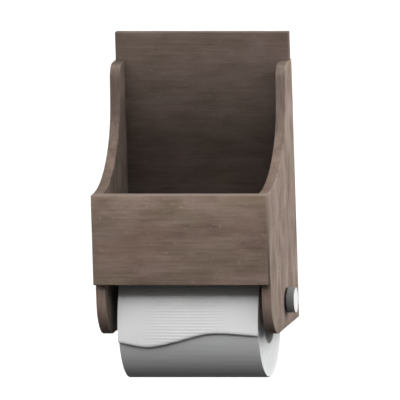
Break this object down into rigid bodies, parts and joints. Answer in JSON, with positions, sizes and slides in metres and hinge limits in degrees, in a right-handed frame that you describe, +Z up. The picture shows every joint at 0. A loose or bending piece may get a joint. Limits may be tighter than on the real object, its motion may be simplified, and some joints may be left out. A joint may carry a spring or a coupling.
{
  "type": "toilet roll holder",
  "caption": "Wall-hung wooden toilet roll holder with a storage box above, a pull-out rod with a round knob, and a roll with a loose sheet.",
  "frame": {"origin": "on the wall plane, which is the rear face of the back board, at the centre line and at the height of the seats of the two keyholes that carry the holder", "axes": "+X to the right as seen from the front, towards the knob; +Y into the wall; +Z up"},
  "size_m": [0.1541, 0.1278, 0.278],
  "materials": {
    "stained_wood": "matt stain",
    "dowel_wood": "bare wood",
    "steel": "satin",
    "chrome": "polished",
    "black_rubber": "matt",
    "white_paper": "soft tissue",
    "grey_card": "wound card"
  },
  "bodies": {
    "frame": {"back_board": "stained_wood", "left_side_board": "stained_wood", "right_side_board": "stained_wood", "front_board": "stained_wood", "box_floor": "stained_wood", "front_dowel_left_1": "dowel_wood", "front_dowel_left_2": "dowel_wood", "front_dowel_right_1": "dowel_wood", "front_dowel_right_2": "dowel_wood", "back_dowel_left_1": "dowel_wood", "back_dowel_left_2": "dowel_wood", "back_dowel_left_3": "dowel_wood", "back_dowel_right_1": "dowel_wood", "back_dowel_right_2": "dowel_wood", "back_dowel_right_3": "dowel_wood", "floor_dowel_left_1": "dowel_wood", "floor_dowel_left_2": "dowel_wood", "floor_dowel_right_1": "dowel_wood", "floor_dowel_right_2": "dowel_wood", "floor_dowel_front_1": "dowel_wood", "floor_dowel_front_2": "dowel_wood", "floor_dowel_back_1": "dowel_wood", "floor_dowel_back_2": "dowel_wood", "keyhole_plate_left": "steel", "keyhole_plate_right": "steel", "plate_screw_left_lower": "steel", "plate_screw_left_upper": "steel", "plate_screw_right_lower": "steel", "plate_screw_right_upper": "steel"},
    "washer": {"rod_washer": "black_rubber"},
    "rod": {"roll_rod": "steel", "rod_knob": "chrome"},
    "roll": {"card_core": "grey_card", "paper_roll": "white_paper", "loose_sheet": "white_paper"}
  },
  "joints": [
    {"name": "rod_slide", "type": "slide", "parent": "frame", "child": "washer", "axis": [1, 0, 0], "range_m": [0, 0.136]},
    {"name": "rod_spin", "type": "hinge", "parent": "washer", "child": "rod", "pos_m": [0, -0.05254, -0.18999], "axis": [1, 0, 0], "continuous": true},
    {"name": "roll_spin", "type": "hinge", "parent": "frame", "child": "roll", "pos_m": [0, -0.05254, -0.20394], "axis": [1, 0, 0], "continuous": true}
  ]
}
